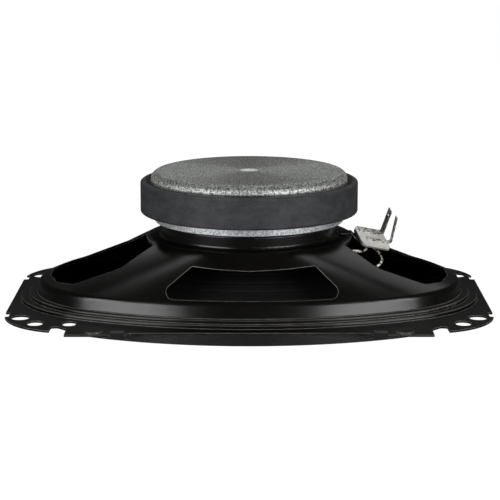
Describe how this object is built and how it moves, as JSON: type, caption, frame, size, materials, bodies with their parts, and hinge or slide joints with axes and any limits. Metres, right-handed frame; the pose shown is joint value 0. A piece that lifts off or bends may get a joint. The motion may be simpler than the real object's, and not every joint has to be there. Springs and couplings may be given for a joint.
{
  "type": "coaxial car speaker",
  "caption": "Oval two-way car loudspeaker with stamped basket, ring magnet, sliding cone, recessed tweeter and blade terminals.",
  "frame": {"origin": "centre of the flat front face of the front ring, on the speaker's axis", "axes": "+Z from the listener's side towards the magnet, X along the long axis of the oval, Y along the short axis"},
  "size_m": [0.2398, 0.164, 0.0711],
  "materials": {
    "basket_black": "satin",
    "ring_plastic": "grained",
    "ferrite": "matte sintered",
    "zinc_plate": "zinc plated",
    "steel_bright": "plain",
    "cone_paper": "pressed pulp",
    "surround_rubber": "matt",
    "spider_cloth": "resin-stiffened cloth",
    "former_film": "foil former",
    "copper_wire": "enamelled copper wire",
    "collar_felt": "doped cloth",
    "case_plastic": "moulded",
    "dome_film": "metallised film",
    "capacitor_sleeve": "shrink sleeve",
    "board_laminate": "pale laminate",
    "backing_laminate": "brown phenolic",
    "tinned_steel": "tin plated",
    "tinsel_braid": "braided tinsel"
  },
  "bodies": {
    "frame": {"basket": "basket_black", "board_bracket": "basket_black", "front_ring": "ring_plastic", "magnet": "ferrite", "front_plate": "zinc_plate", "t_yoke": "zinc_plate", "plate_rivets": "steel_bright", "surround": "surround_rubber", "spider": "spider_cloth", "tweeter_post": "steel_bright", "post_nut": "steel_bright", "tweeter_case": "case_plastic", "tweeter_front_ring": "case_plastic", "tweeter_guard": "case_plastic", "tweeter_yoke_cup": "zinc_plate", "tweeter_magnet": "ferrite", "tweeter_pole_plate": "zinc_plate", "tweeter_surround": "collar_felt", "crossover_capacitor": "capacitor_sleeve", "terminal_board": "board_laminate", "board_backing": "backing_laminate", "lug_positive": "tinned_steel", "lug_negative": "tinned_steel", "lug_rivets": "tinned_steel", "lead_positive": "tinsel_braid", "lead_negative": "tinsel_braid"},
    "cone_assembly": {"cone": "cone_paper", "voice_coil_former": "former_film", "voice_coil_winding": "copper_wire", "dust_collar": "collar_felt", "cone_eyelets": "tinned_steel"},
    "tweeter_diaphragm": {"tweeter_dome": "dome_film", "tweeter_coil": "copper_wire"}
  },
  "joints": [
    {"name": "cone_travel", "type": "slide", "parent": "frame", "child": "cone_assembly", "axis": [0, 0, 1], "range_m": [-0.005, 0.005], "stiffness_N_per_m": 4000, "deforming": ["surround", "spider", "lead_positive", "lead_negative"]},
    {"name": "tweeter_travel", "type": "slide", "parent": "frame", "child": "tweeter_diaphragm", "axis": [0, 0, 1], "range_m": [-0.0003, 0.0003], "stiffness_N_per_m": 200, "deforming": ["tweeter_surround"]}
  ]
}
